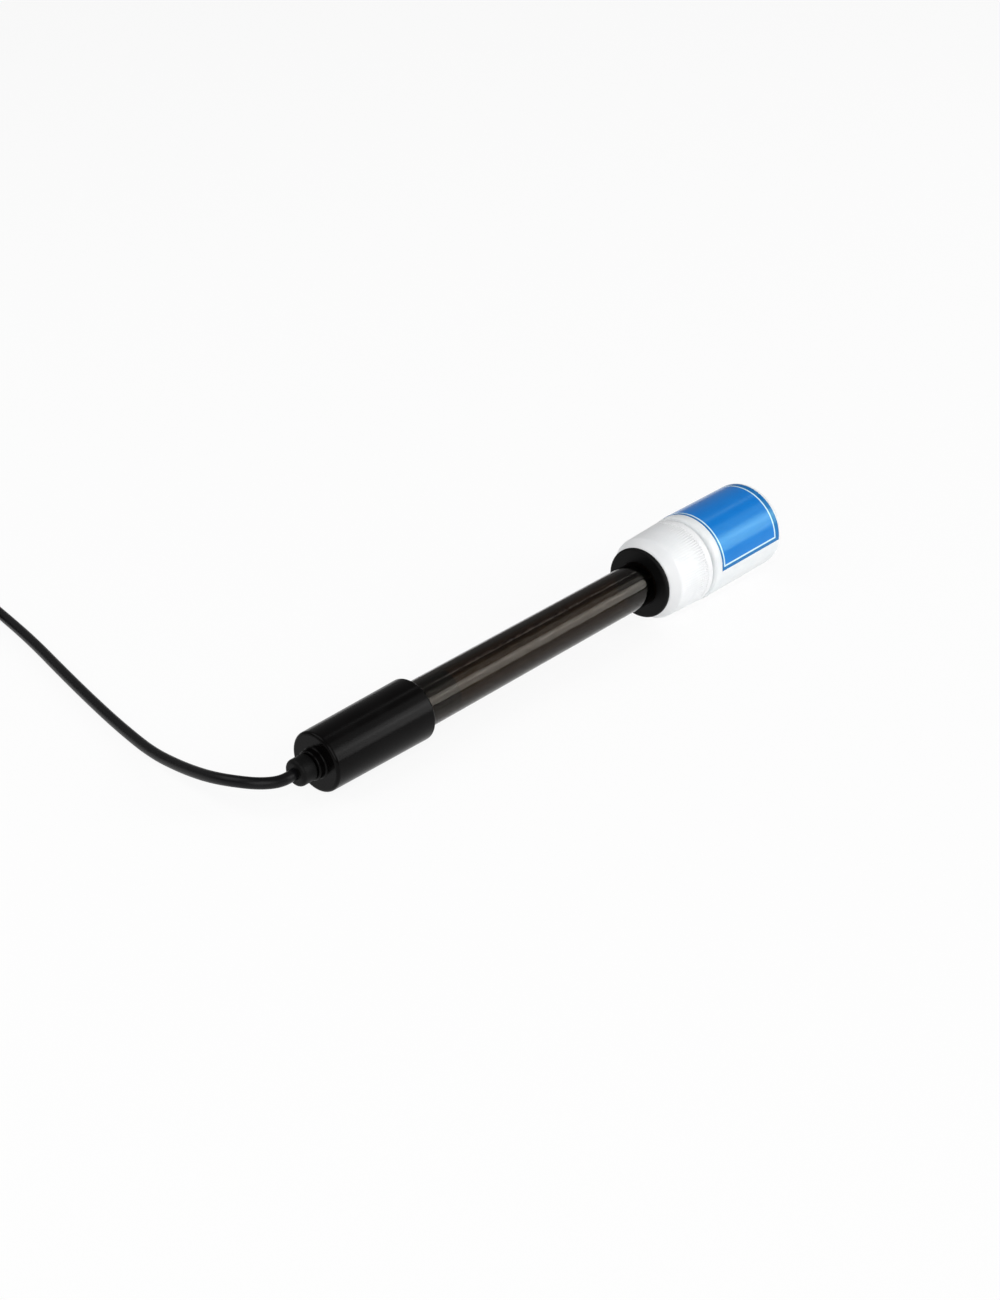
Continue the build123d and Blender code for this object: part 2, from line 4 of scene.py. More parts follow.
import bpy
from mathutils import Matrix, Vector


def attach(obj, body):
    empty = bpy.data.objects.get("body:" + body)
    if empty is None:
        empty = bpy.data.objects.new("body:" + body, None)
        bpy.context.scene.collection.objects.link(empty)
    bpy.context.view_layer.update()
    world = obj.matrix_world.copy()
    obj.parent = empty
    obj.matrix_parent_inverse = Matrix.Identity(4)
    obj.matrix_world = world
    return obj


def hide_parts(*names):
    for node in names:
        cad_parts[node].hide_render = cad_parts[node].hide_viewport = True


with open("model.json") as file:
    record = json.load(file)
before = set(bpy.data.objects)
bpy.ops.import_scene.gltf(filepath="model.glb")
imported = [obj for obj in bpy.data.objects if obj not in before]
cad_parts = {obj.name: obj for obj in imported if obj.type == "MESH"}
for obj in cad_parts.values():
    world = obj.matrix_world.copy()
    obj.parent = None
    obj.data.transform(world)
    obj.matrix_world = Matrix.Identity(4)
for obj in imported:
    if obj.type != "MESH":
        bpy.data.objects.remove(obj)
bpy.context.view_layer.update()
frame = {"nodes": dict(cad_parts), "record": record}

# The view: the electrode lies on a white table and is seen from behind its head cap, on its left.
# A wide window stands to the right, brightest at a bar across it, with a thin tube lamp overhead.
# Two soft boxes beyond the head cap, one on each side, light the white faces that look this way.

CAMERA_PLACE = (-0.341892, -0.292076, 0.235757)
CAMERA_TILT_DEG = 62.904
CAMERA_TURN_DEG = -48.016
CAMERA_NEAREST = 0.01
LENS_MM = 55.385
TABLE_HALF = 30.0
TABLE_DROP = 0.0002
TABLE_SHADE_SHARE = 0.1
LAMP_DISTANCE = 1.0

bpy.context.scene.view_settings.view_transform = "Standard"
camera = bpy.data.objects.new("camera", bpy.data.cameras.new("camera"))
camera.location = CAMERA_PLACE
camera.rotation_euler = (math.radians(CAMERA_TILT_DEG), 0.0, math.radians(CAMERA_TURN_DEG))
camera.data.lens = LENS_MM
camera.data.clip_start = CAMERA_NEAREST
bpy.context.scene.collection.objects.link(camera)
bpy.context.scene.camera = camera


class Paint:
    """A socket among one material's nodes. Sums and products of it add Math nodes there."""

    def __init__(self, tree, socket=None):
        self.tree = tree
        self.socket = socket

    def add(self, kind, settings, sockets, output=0):
        """Adds a node: its settings first, then the values or links of its sockets."""
        node = self.tree.nodes.new("ShaderNode" + kind)
        for name, setting in settings.items():
            setattr(node, name, setting)
        for name, value in sockets.items():
            if isinstance(value, Paint):
                self.tree.links.new(value.socket, node.inputs[name])
            else:
                node.inputs[name].default_value = value
        return Paint(self.tree, node.outputs[output] if node.outputs else None)

    def math(self, operation, *values):
        return self.add("Math", {"operation": operation}, dict(enumerate(values)))

    def __add__(self, other):
        return self.math("ADD", self, other)

    def __sub__(self, other):
        return self.math("SUBTRACT", self, other)

    def __rsub__(self, other):
        return self.math("SUBTRACT", other, self)

    def __mul__(self, other):
        return self.math("MULTIPLY", self, other)

    __radd__ = __add__
    __rmul__ = __mul__


def new_material(name):
    material = bpy.data.materials.new(name)
    material.use_nodes = True
    material.node_tree.nodes.clear()
    return material, Paint(material.node_tree)


def wear(piece, material):
    piece.data.materials.clear()
    piece.data.materials.append(material)


def blend_colour(paint, share, first, second):
    return paint.add("Mix", {"data_type": "RGBA"}, {0: share, 6: first, 7: second}, 2)


def mesh_piece(name, points, faces):
    mesh = bpy.data.meshes.new(name)
    mesh.from_pydata([tuple(p) for p in points], [], faces)
    mesh.validate()
    mesh.shade_smooth()
    piece = bpy.data.objects.new(name, mesh)
    bpy.context.scene.collection.objects.link(piece)
    return piece


table_corners = [(x * TABLE_HALF, y * TABLE_HALF) for x, y in ((-1, -1), (1, -1), (1, 1), (-1, 1))]
table = mesh_piece("table", [(x, y, -TABLE_DROP) for x, y in table_corners], [(0, 1, 2, 3)])

# The table is white where it is looked at or mirrored, and keeps a share of the object's shadow
table_white, paint = new_material("table_white")
seen = paint.add("LightPath", {}, {}, "Is Camera Ray")
for ray in ("Is Glossy Ray", "Is Transmission Ray"):
    seen = seen.math("MAXIMUM", seen, paint.add("LightPath", {}, {}, ray))
matt = paint.add("BsdfDiffuse", {}, {"Color": (0.98, 0.98, 0.98, 1.0)})
glow = paint.add("Emission", {}, {"Color": (1.0, 1.0, 1.0, 1.0), "Strength": 1.0})
table_mix = paint.add("MixShader", {}, {0: seen * (1 - TABLE_SHADE_SHARE), 1: matt, 2: glow})
paint.add("OutputMaterial", {}, {"Surface": table_mix})
wear(table, table_white)

# A dim even room, with a few clouds of light so that no side of it is quite flat
room = bpy.data.worlds.new("room")
bpy.context.scene.world = room
room.use_nodes = True
room.node_tree.nodes.clear()
paint = Paint(room.node_tree)
ray_direction = paint.add("TexCoord", {}, {}, "Generated")
clouds = paint.add("TexNoise", {}, {"Vector": ray_direction, "Scale": 1.3, "Detail": 1.0})
room_colour = blend_colour(paint, clouds, (0.2, 0.2, 0.2, 1.0), (0.32, 0.32, 0.32, 1.0))
paint.add("OutputWorld", {}, {"Surface": paint.add("Background", {}, {"Color": room_colour})})


def soft_box(name, rise_deg, height, brightness, along=0.95, width=0.9):
    """A lamp level with the electrode and facing it, raised by an angle. A white surface has brightness 1."""
    lamp = bpy.data.lights.new(name, "AREA")
    lamp.shape = "RECTANGLE"
    lamp.size = width
    lamp.size_y = height
    lamp.energy = brightness * math.pi * width * height
    holder = bpy.data.objects.new(name, lamp)
    rise = math.radians(rise_deg)
    holder.location = (along, -LAMP_DISTANCE * math.cos(rise), LAMP_DISTANCE * math.sin(rise))
    holder.rotation_euler = (math.pi / 2 - rise, 0.0, 0.0)
    bpy.context.scene.collection.objects.link(holder)


soft_box("window", 26.0, 0.75, 4.0)
soft_box("window_bar", 31.0, 0.12, 3.0)
soft_box("window_top", 60.0, 0.4, 1.0)
soft_box("ceiling_tube", 98.0, 0.08, 1.7)
soft_box("fill", 40.0, 1.0, 2.4, along=-0.9, width=1.3)
soft_box("back_fill", 118.0, 0.8, 1.7, along=-0.7, width=1.0)

# The measuring half-cell: a stem of clear glass drawn to a thin bulb at its end, closed by a rubber plug.
# A silver wire with a darkened chloride coat hangs down its middle, from the cable's core into the bulb.


def noise(paint, scale, detail=3.0, stretch=(1.0, 1.0, 1.0)):
    """Blotches over the object's own metres, drawn out along an axis where stretch is small."""
    point = paint.add("TexCoord", {}, {}, "Object")
    place = paint.add("Mapping", {}, {"Vector": point, "Scale": stretch})
    return paint.add("TexNoise", {}, {"Vector": place, "Scale": scale, "Detail": detail})


def surface(paint, sockets, bump_height=None, bump_depth=0.0, filling=None):
    """The material's shader, with a bump of a given depth in metres and a filling where one is wanted."""
    if bump_height is not None:
        bump = {"Height": bump_height, "Strength": 1.0, "Distance": bump_depth}
        sockets["Normal"] = paint.add("Bump", {}, bump)
    shaders = {"Surface": paint.add("BsdfPrincipled", {}, sockets)}
    if filling is not None:
        shaders["Volume"] = filling
    paint.add("OutputMaterial", {}, shaders)


glass, paint = new_material("electrode_glass")
drawn = noise(paint, 260.0, 2.0, (0.15, 1.0, 1.0))
surface(
    paint,
    {
        "Base Color": (0.93, 0.97, 0.96, 1.0),
        "Roughness": 0.02 + drawn * 0.03,
        "Transmission Weight": 1.0,
        "IOR": 1.5,
    },
)
wear(frame["nodes"]["glass_stem"], glass)


def srgb(red, green, blue):
    """A colour given as a screen shows it, from 0 to 255, as the linear one that nodes take."""
    channels = [red / 255, green / 255, blue / 255]
    return (*[c / 12.92 if c <= 0.04045 else ((c + 0.055) / 1.055) ** 2.4 for c in channels], 1.0)


def step(paint, value, low, high):
    """A share that rises smoothly from 0 to 1 as a value goes from low to high."""
    return paint.add(
        "MapRange", {"interpolation_type": "SMOOTHSTEP"}, {"Value": value, "From Min": low, "From Max": high}
    )


def drawn_wire(name, bright, dull, roughness):
    """Drawn metal wire with patches of tarnish and fine lines along it."""
    material, paint = new_material(name)
    tarnish = noise(paint, 700.0)
    lines = noise(paint, 4000.0, 2.0, (0.05, 1.0, 1.0))
    surface(
        paint,
        {
            "Base Color": blend_colour(paint, step(paint, tarnish, 0.4, 0.65), bright, dull),
            "Metallic": 1.0,
            "Roughness": roughness + (lines - 0.5) * 0.2,
        },
        lines,
        0.00001,
    )
    return material


def moulded(name, colour, dusty, gloss, grain_scale, grain_depth, specular=0.5):
    """Moulded plastic or rubber: clouds of slightly duller colour and gloss, and a fine moulded grain."""
    material, paint = new_material(name)
    clouds = noise(paint, 140.0)
    grain = noise(paint, grain_scale, 4.0)
    surface(
        paint,
        {
            "Base Color": blend_colour(paint, step(paint, clouds, 0.35, 0.75), colour, dusty),
            "Roughness": gloss + (clouds - 0.5) * 0.12 + (grain - 0.5) * 0.08,
            "Specular IOR Level": specular,
        },
        grain,
        grain_depth,
    )
    return material


silver = drawn_wire("silver_wire", srgb(222, 220, 214), srgb(120, 112, 106), 0.28)
for node in ("measuring_wire", "reference_wire"):
    wear(frame["nodes"][node], silver)
black_rubber = moulded("black_rubber", srgb(7, 7, 7), srgb(12, 12, 12), 0.5, 2600.0, 0.00002, 0.12)
wear(frame["nodes"]["stem_plug"], black_rubber)

# The body: a tube of smoke-brown polycarbonate, polished, with four guard prongs round the bulb.
# The brown is in the wall itself, so the tube is darkest at its edges, where light goes the longest way.
# Black resin fills its rear end, and a ring of amber resin with a ceramic thread closes it near the tip.

SMOKE_TINT = (0.39, 0.27, 0.1, 1.0)
SMOKE_DENSITY = 2200.0
STREAK_TINT = (0.7, 0.64, 0.55, 1.0)
BETWEEN_STREAKS_TINT = (0.97, 0.95, 0.92, 1.0)
AMBER_THICK = (0.5, 0.36, 0.18, 1.0)
AMBER_THIN = (0.62, 0.5, 0.3, 1.0)

smoke, paint = new_material("smoked_polycarbonate")
streaks = noise(paint, 900.0, 3.0, (0.03, 1.0, 1.0))
scuffs = noise(paint, 1500.0, 4.0, (0.2, 1.0, 1.0))
surface(
    paint,
    {
        "Base Color": blend_colour(paint, step(paint, streaks, 0.3, 0.7), STREAK_TINT, BETWEEN_STREAKS_TINT),
        "Roughness": 0.05 + step(paint, scuffs, 0.5, 0.75) * 0.08,
        "Transmission Weight": 1.0,
        "IOR": 1.3,
        "Specular Tint": (1.0, 0.92, 0.8, 1.0),
    },
    streaks,
    0.000003,
    paint.add("VolumeAbsorption", {}, {"Color": SMOKE_TINT, "Density": SMOKE_DENSITY}),
)
wear(frame["nodes"]["body_tube"], smoke)
wear(
    frame["nodes"]["potting_plug"],
    moulded("black_potting", srgb(9, 8, 8), srgb(16, 15, 15), 0.4, 900.0, 0.00003),
)
wear(
    frame["nodes"]["reference_junction"],
    moulded("junction_ceramic", srgb(226, 221, 212), srgb(196, 188, 176), 0.8, 6000.0, 0.00003),
)
amber, paint = new_material("clear_epoxy")
flow = noise(paint, 500.0)
surface(
    paint,
    {
        "Base Color": blend_colour(paint, step(paint, flow, 0.3, 0.7), AMBER_THICK, AMBER_THIN),
        "Roughness": 0.12 + flow * 0.1,
        "Transmission Weight": 0.7,
        "IOR": 1.55,
    },
    flow,
    0.00002,
)
wear(frame["nodes"]["lower_seal"], amber)

# The head cap: a black moulded plug cap glued on the tube, with a short boss for the cable.
# Inside it the cable's white core and its tinned shield lead are soldered to the two silver wires.

head_black = moulded("black_plastic", srgb(5, 4, 4), srgb(9, 8, 8), 0.22, 1800.0, 0.000008, 0.08)
wear(frame["nodes"]["head_cap"], head_black)
wear(frame["nodes"]["strain_relief"], black_rubber)
wear(
    frame["nodes"]["signal_core"],
    moulded("core_insulation", srgb(226, 225, 220), srgb(208, 206, 200), 0.45, 3000.0, 0.00001),
)
wear(
    frame["nodes"]["shield_lead"],
    drawn_wire("tinned_copper", srgb(196, 190, 180), srgb(168, 138, 110), 0.35),
)

# The cable: 2.8 mm black screened lead, about 0.9 m long, that leaves the head cap through its rubber bead.
# It bends round on the table, and the spare length is wound into a tied coil behind the electrode.

CABLE_RADIUS_MM = 1.4
CABLE_RADIUS = CABLE_RADIUS_MM / 1000
CABLE_STARTS_AT = 5.0
CABLE_LEAVES_AT = -6.4
GRIP_ALONG = 74.0
ROUTE_MM = [
    (-4.2, 0.0, 7.15),
    (-8.3, 2.5, 7.5),
    (-11.2, 7.1, 7.6),
    (-12.2, 12.6, 6.7),
    (-12.1, 18.4, 5.5),
    (-11.4, 26.7, 4.0),
    (-9.9, 37.8, 2.4),
    (-6.8, 51.6, 1.5),
    (-3.5, 66.3, 1.4),
    (1.5, 86.3, 1.4),
    (7.4, 108.3, 1.4),
    (11.6, 128.3, 1.4),
]
COIL_CENTRE_MM = (-6.3, 148.5)
COIL_FROM_DEG = -9.67
COIL_TURNS = 6.5
COIL_POINTS_PER_TURN = 16
COIL_RINGS_MM = [(21.0, 1.4), (18.2, 1.4), (15.4, 1.4), (12.6, 1.4), (14.0, 3.82), (16.8, 3.82), (19.6, 3.82)]
COIL_UPPER_RING = 4
COIL_STEP_PART = 6
COIL_CROSSING_HUMP_MM = 0.4
TIE_AT_DEG = 80.0
TIE_LIFT_MM = 0.45
TIE_LIFT_FADE = 1.6
TAIL_MM = [
    (-26.8, 144.6, 4.2),
    (-27.9, 138.2, 5.8),
    (-29.0, 132.0, 7.0),
    (-30.0, 126.2, 7.2),
    (-31.18, 119.3, 7.2),
]

# The electrode's axis, from the grip mount in the middle of the bare shaft.
# Places along it are in millimetres from the rear face of the head cap, as in the drawing.
grip = next(m for m in frame["record"]["mounts"] if m["name"] == "shaft_grip")
axis = Vector(grip["axis"]).normalized()
side = Vector((0.0, 1.0, 0.0))
lift = axis.cross(side)
if lift.z < 0:
    lift = -lift
axis_start = Vector(grip["pos_m"]) - axis * (GRIP_ALONG / 1000)


def on_electrode(along, radius=0.0, turn_deg=0.0):
    """A point by its place along the axis, its distance from it and its turn from +Y over the top."""
    turn = math.radians(turn_deg)
    out = side * math.cos(turn) + lift * math.sin(turn)
    return axis_start + axis * (along / 1000) + out * (radius / 1000)


cable_exit = on_electrode(CABLE_LEAVES_AT)


def from_exit(x, y, z):
    """A point in millimetres from the cable's exit, its height from the table."""
    return Vector((cable_exit.x + x / 1000, y / 1000, z / 1000))


def tie_lift(turn_deg):
    """How far the tie under the coil lifts its turns at an angle, in millimetres."""
    off = (turn_deg - TIE_AT_DEG + 180.0) % 360.0 - 180.0
    return TIE_LIFT_MM * max(0.0, math.cos(math.radians(min(90.0, abs(off) * TIE_LIFT_FADE)))) ** 2


def coil_point(turns):
    """A point of the coil after some turns: on a ring, or stepping to the next one in a turn's last sixth."""
    ring = int(turns)
    share = min(1.0, max(0.0, (turns - ring) * COIL_STEP_PART - (COIL_STEP_PART - 1)))
    share = share * share * (3 - 2 * share)
    here = COIL_RINGS_MM[ring]
    after = COIL_RINGS_MM[min(ring + 1, len(COIL_RINGS_MM) - 1)]
    # The spline runs a little inside its control points, so they stand out by as much
    pull_in = (3 + math.cos(math.tau / COIL_POINTS_PER_TURN)) / 4
    radius = (here[0] + (after[0] - here[0]) * share) / pull_in
    height = here[1] + (after[1] - here[1]) * share
    if ring >= COIL_UPPER_RING:
        height += COIL_CROSSING_HUMP_MM * math.sin(math.pi * share)
    turn_deg = COIL_FROM_DEG + turns * 360.0
    turn = math.radians(turn_deg)
    x = COIL_CENTRE_MM[0] + radius * math.cos(turn)
    y = COIL_CENTRE_MM[1] + radius * math.sin(turn)
    return from_exit(x, y, height + tie_lift(turn_deg))


coil_count = round(COIL_TURNS * COIL_POINTS_PER_TURN)
cable_points = [on_electrode(CABLE_STARTS_AT), on_electrode(0.0), cable_exit]
cable_points += [from_exit(*p) for p in ROUTE_MM]
cable_points += [coil_point(i / COIL_POINTS_PER_TURN) for i in range(coil_count + 1)]
cable_points += [from_exit(*p) for p in TAIL_MM]
cable_line = bpy.data.curves.new("cable", "CURVE")
cable_line.dimensions = "3D"
cable_line.bevel_depth = CABLE_RADIUS
cable_line.bevel_resolution = 5
cable_line.resolution_u = 6
cable_line.use_fill_caps = True
spline = cable_line.splines.new("NURBS")
spline.points.add(len(cable_points) - 1)
for control, point in zip(spline.points, cable_points):
    control.co = (*point, 1.0)
spline.order_u = 3
spline.use_endpoint_u = True
cable = bpy.data.objects.new("cable", cable_line)
bpy.context.scene.collection.objects.link(cable)
jacket = moulded("cable_jacket", srgb(8, 8, 10), srgb(13, 13, 15), 0.36, 1400.0, 0.00002, 0.18)
cable.data.materials.append(jacket)
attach(cable, "electrode")
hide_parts("cable_run", "cable_coil", "cable_tail")

# The coil's tie: a strap of black woven tape pulled round all the turns, its end pressed down on top.
# The strap lies under the coil too, and the turns rise a little over it.

TIE_THICKNESS_MM = 0.4
TIE_WIDTH_MM = 5.0
TIE_CLEAR_MM = 0.05
TIE_LOWEST_MM = 0.02
TIE_CORNERS_MM = [(12.6, 1.85), (21.0, 1.85), (19.6, 4.27), (14.0, 4.27)]
TIE_CORNER_STEPS = 7
TIE_WIDTH_STEPS = 6
# Points of the outline from halfway up the outer turn to just over the top's inner turn
TIE_FLAP_FROM = 12
TIE_FLAP_TO = 26
TIE_WEAVE_SCALE = 900.0


def strap_outline(reach):
    """The strap's section round the stacked turns: straight runs, with arcs round the outer turns."""
    outline = []
    count = len(TIE_CORNERS_MM)
    for i, (x, y) in enumerate(TIE_CORNERS_MM):
        before = TIE_CORNERS_MM[i - 1]
        after = TIE_CORNERS_MM[(i + 1) % count]
        start = math.atan2(y - before[1], x - before[0]) - math.pi / 2
        end = math.atan2(after[1] - y, after[0] - x) - math.pi / 2
        if end < start:
            end += math.tau
        for k in range(TIE_CORNER_STEPS + 1):
            turn = start + (end - start) * k / TIE_CORNER_STEPS
            outline.append((x + reach * math.cos(turn), y + reach * math.sin(turn)))
    return outline


def across_tie(k, radius, height):
    """A point of the strap's section, k steps across its width from one edge."""
    off = TIE_WIDTH_MM * (k / TIE_WIDTH_STEPS - 0.5)
    turn = math.radians(TIE_AT_DEG) + off / radius
    x = COIL_CENTRE_MM[0] + radius * math.cos(turn)
    y = COIL_CENTRE_MM[1] + radius * math.sin(turn)
    return from_exit(x, y, max(height, TIE_LOWEST_MM))


tie_inner = strap_outline(CABLE_RADIUS_MM + TIE_CLEAR_MM)
tie_outer = strap_outline(CABLE_RADIUS_MM + TIE_CLEAR_MM + TIE_THICKNESS_MM)
tie_points = []
tie_faces = []
for k in range(TIE_WIDTH_STEPS + 1):
    tie_points += [across_tie(k, radius, height) for radius, height in tie_inner + tie_outer]
loop = len(tie_inner)
for k in range(TIE_WIDTH_STEPS):
    for i in range(loop):
        j = (i + 1) % loop
        a = k * 2 * loop
        b = a + 2 * loop
        tie_faces.append((a + i, b + i, b + j, a + j))
        tie_faces.append((a + loop + j, b + loop + j, b + loop + i, a + loop + i))
last = TIE_WIDTH_STEPS * 2 * loop
for i in range(loop):
    j = (i + 1) % loop
    tie_faces.append((i, j, loop + j, loop + i))
    tie_faces.append((last + loop + i, last + loop + j, last + j, last + i))

# The strap's loose end, laid over its own outside from the outer turn across the top
flap_under = tie_outer[TIE_FLAP_FROM:TIE_FLAP_TO]
flap_over = strap_outline(CABLE_RADIUS_MM + TIE_CLEAR_MM + 2 * TIE_THICKNESS_MM)[TIE_FLAP_FROM:TIE_FLAP_TO]
flap_loop = flap_under + flap_over[::-1]
flap_first = len(tie_points)
for k in range(TIE_WIDTH_STEPS + 1):
    tie_points += [across_tie(k, radius, height) for radius, height in flap_loop]
loop = len(flap_loop)
for k in range(TIE_WIDTH_STEPS):
    a = flap_first + k * loop
    for i in range(loop):
        j = (i + 1) % loop
        tie_faces.append((a + i, a + loop + i, a + loop + j, a + j))
tie_faces.append(tuple(flap_first + i for i in range(loop)))
tie_faces.append(tuple(flap_first + TIE_WIDTH_STEPS * loop + i for i in reversed(range(loop))))
tie = mesh_piece("tie_strap", tie_points, tie_faces)
tape, paint = new_material("tie_tape")
threads = [
    paint.add(
        "TexWave",
        {"bands_direction": direction},
        {"Vector": paint.add("TexCoord", {}, {}, "Object"), "Scale": TIE_WEAVE_SCALE},
    )
    for direction in "XY"
]
weave = threads[0] * threads[1]
surface(
    paint,
    {
        "Base Color": blend_colour(paint, weave, srgb(12, 12, 13), srgb(34, 34, 36)),
        "Roughness": 0.75 + weave * 0.15,
        "Sheen Weight": 0.3,
    },
    weave,
    0.00006,
)
wear(tie, tape)
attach(tie, "electrode")
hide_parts("coil_tie")

# The connector: a nickel bayonet plug with a knurled coupling ring, crimped on under a soft rubber boot.
# Its gold pin stands in a white fluoropolymer insulator, and a spring clip holds the ring on its spindle.

nickel, paint = new_material("nickel_plate")
stain = noise(paint, 300.0)
turning = noise(paint, 3000.0, 2.0, (1.0, 0.1, 1.0))
stained = step(paint, stain, 0.4, 0.75)
surface(
    paint,
    {
        "Base Color": blend_colour(paint, stained, srgb(205, 200, 192), srgb(178, 172, 163)),
        "Metallic": 1.0,
        "Roughness": 0.2 + (turning - 0.5) * 0.12 + step(paint, stain, 0.5, 0.8) * 0.08,
    },
    turning,
    0.000004,
)
for node in ("connector_body", "coupling_ring"):
    wear(frame["nodes"][node], nickel)
wear(frame["nodes"]["connector_boot"], black_rubber)
wear(
    frame["nodes"]["connector_insulator"],
    moulded("white_fluoropolymer", srgb(238, 238, 234), srgb(224, 223, 217), 0.42, 2400.0, 0.00001),
)
wear(frame["nodes"]["centre_pin"], drawn_wire("gold_plate", srgb(232, 190, 96), srgb(206, 160, 76), 0.2))
wear(
    frame["nodes"]["retaining_clip"],
    drawn_wire("spring_steel", srgb(150, 150, 152), srgb(104, 100, 98), 0.35),
)

# The seal: a black rubber bung on the shaft, buttoned into the hole of the cap by its waist.
# A grey rubber gasket lies between the bung's collar and the rim of the bottle.

wear(frame["nodes"]["seal_bung"], black_rubber)
wear(
    frame["nodes"]["cap_gasket"],
    moulded("grey_rubber", srgb(92, 92, 94), srgb(108, 108, 110), 0.65, 2200.0, 0.00002),
)

# The screw cap: white moulded plastic with a bevelled top and a skirt of fine grip ribs.
# The grooves between the ribs end in a row of small pits, short of a plain rear rim.
# A right-hand thread runs round the inside.

CAP_FACE = 118.2
CAP_HOLE_R = 8.25
CAP_TOP_R = 9.6
CAP_BEVEL_END = 121.0
CAP_FRONT_R = 11.3
CAP_MIDDLE = 127.0
CAP_REAR = 134.2
CAP_REAR_R = 11.8
CAP_INNER_FACE = 120.0
CAP_THREAD_R = 9.9
CAP_THREAD_CREST_R = 9.5
CAP_THREAD_FROM = 126.9
CAP_THREAD_TURNS = 1.9
CAP_RIBS = 100
CAP_RIB_HEIGHT = 0.07
CAP_RIBS_FROM = 121.9
CAP_RIBS_TO = 132.1
CAP_SEGMENTS_PER_RIB = 6
CAP_PIT_AT = 131.75
CAP_PIT_DEPTH = 0.7
CAP_PIT_SLOPE = 0.3
THREAD_PITCH = 3.0
THREAD_STEPS_PER_TURN = 72
THREAD_START_DEG = 180.0
THREAD_FADE = 8
THREAD_FOOT = 0.55
THREAD_FLAT = 0.2
THREAD_SUNK = -0.08


def lathe(name, outline, segments, ribbed):
    """A closed outline of (along, radius) points turned about the electrode's axis, with ribs on it."""
    points = []
    faces = []
    rows = len(outline)
    for i in range(segments):
        turn_deg = 360.0 * i / segments
        for along, radius in outline:
            points.append(on_electrode(along, radius + ribbed(along, turn_deg), turn_deg))
    for i in range(segments):
        a = i * rows
        b = (i + 1) % segments * rows
        for k in range(rows):
            m = (k + 1) % rows
            faces.append((a + k, b + k, b + m, a + m))
    return mesh_piece(name, points, faces)


def cap_side(along):
    """The radius of the skirt, which widens a little to the rear."""
    return CAP_FRONT_R + (CAP_REAR_R - CAP_FRONT_R) * (along - CAP_BEVEL_END) / (CAP_REAR - CAP_BEVEL_END)


def cap_rib(along, turn_deg):
    """How far the grooves between the ribs lie under the skirt, and the pits at their ends."""
    if not CAP_RIBS_FROM <= along <= CAP_RIBS_TO:
        return 0.0
    groove = 0.5 - 0.5 * math.cos(math.radians(turn_deg * CAP_RIBS))
    return -groove * (CAP_PIT_DEPTH if along == CAP_PIT_AT else CAP_RIB_HEIGHT)


cap_outline = [
    (CAP_FACE, CAP_HOLE_R),
    (CAP_FACE, CAP_TOP_R - 0.25),
    (CAP_FACE + 0.08, CAP_TOP_R - 0.08),
    (CAP_FACE + 0.25, CAP_TOP_R + 0.08),
    (CAP_BEVEL_END - 0.3, CAP_FRONT_R - 0.18),
    (CAP_BEVEL_END - 0.1, CAP_FRONT_R - 0.06),
    (CAP_BEVEL_END + 0.15, CAP_FRONT_R),
    (CAP_RIBS_FROM - 0.15, cap_side(CAP_RIBS_FROM)),
    (CAP_RIBS_FROM, cap_side(CAP_RIBS_FROM)),
    (CAP_MIDDLE, cap_side(CAP_MIDDLE)),
    (CAP_PIT_AT - CAP_PIT_SLOPE, cap_side(CAP_PIT_AT - CAP_PIT_SLOPE)),
    (CAP_PIT_AT, cap_side(CAP_PIT_AT)),
    (CAP_RIBS_TO, cap_side(CAP_RIBS_TO)),
    (CAP_RIBS_TO + 0.12, cap_side(CAP_RIBS_TO)),
    (CAP_REAR - 0.5, cap_side(CAP_REAR - 0.5)),
    (CAP_REAR - 0.15, CAP_REAR_R - 0.15),
    (CAP_REAR, CAP_REAR_R - 0.5),
    (CAP_REAR, CAP_THREAD_R + 0.2),
    (CAP_REAR - 0.2, CAP_THREAD_R),
    (CAP_INNER_FACE, CAP_THREAD_R),
    (CAP_INNER_FACE, CAP_HOLE_R),
]
screw_cap = lathe("screw_cap", cap_outline, CAP_RIBS * CAP_SEGMENTS_PER_RIB, cap_rib)


def thread(name, start, turns, root_r, crest_r):
    """A thread's ridge wound about the axis, its feet sunk in the wall, fading in and out at its ends."""
    points = []
    faces = []
    steps = round(turns * THREAD_STEPS_PER_TURN)
    for i in range(steps + 1):
        share = i / steps
        fade = min(1.0, THREAD_FADE * share, THREAD_FADE * (1 - share))
        along = start + THREAD_PITCH * turns * share
        turn_deg = THREAD_START_DEG + 360.0 * turns * share
        section = [
            (-THREAD_FOOT, THREAD_SUNK),
            (-THREAD_FLAT, fade),
            (THREAD_FLAT, fade),
            (THREAD_FOOT, THREAD_SUNK),
        ]
        for off, height in section:
            points.append(on_electrode(along + off, root_r + (crest_r - root_r) * height, turn_deg))
    for i in range(steps):
        a = i * 4
        for k in range(4):
            m = (k + 1) % 4
            faces.append((a + k, a + 4 + k, a + 4 + m, a + m))
    faces.append((0, 1, 2, 3))
    last = steps * 4
    faces.append((last + 3, last + 2, last + 1, last))
    return mesh_piece(name, points, faces)


cap_thread = thread("cap_thread", CAP_THREAD_FROM, CAP_THREAD_TURNS, CAP_THREAD_R, CAP_THREAD_CREST_R)
cap_white = moulded("white_cap_plastic", srgb(244, 245, 246), srgb(238, 240, 242), 0.4, 900.0, 0.00001)
for piece in (screw_cap, cap_thread):
    wear(piece, cap_white)
    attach(piece, "cap")
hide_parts("bottle_cap")

# The bottle: blown from white polyethylene, slightly milky, with a rounded base.
# The thread on its neck takes the cap and presses its rim against the gasket.

NECK_R = 9.2
NECK_CREST_R = 9.62
NECK_THREAD_FROM = 125.4
NECK_THREAD_TURNS = 2.0

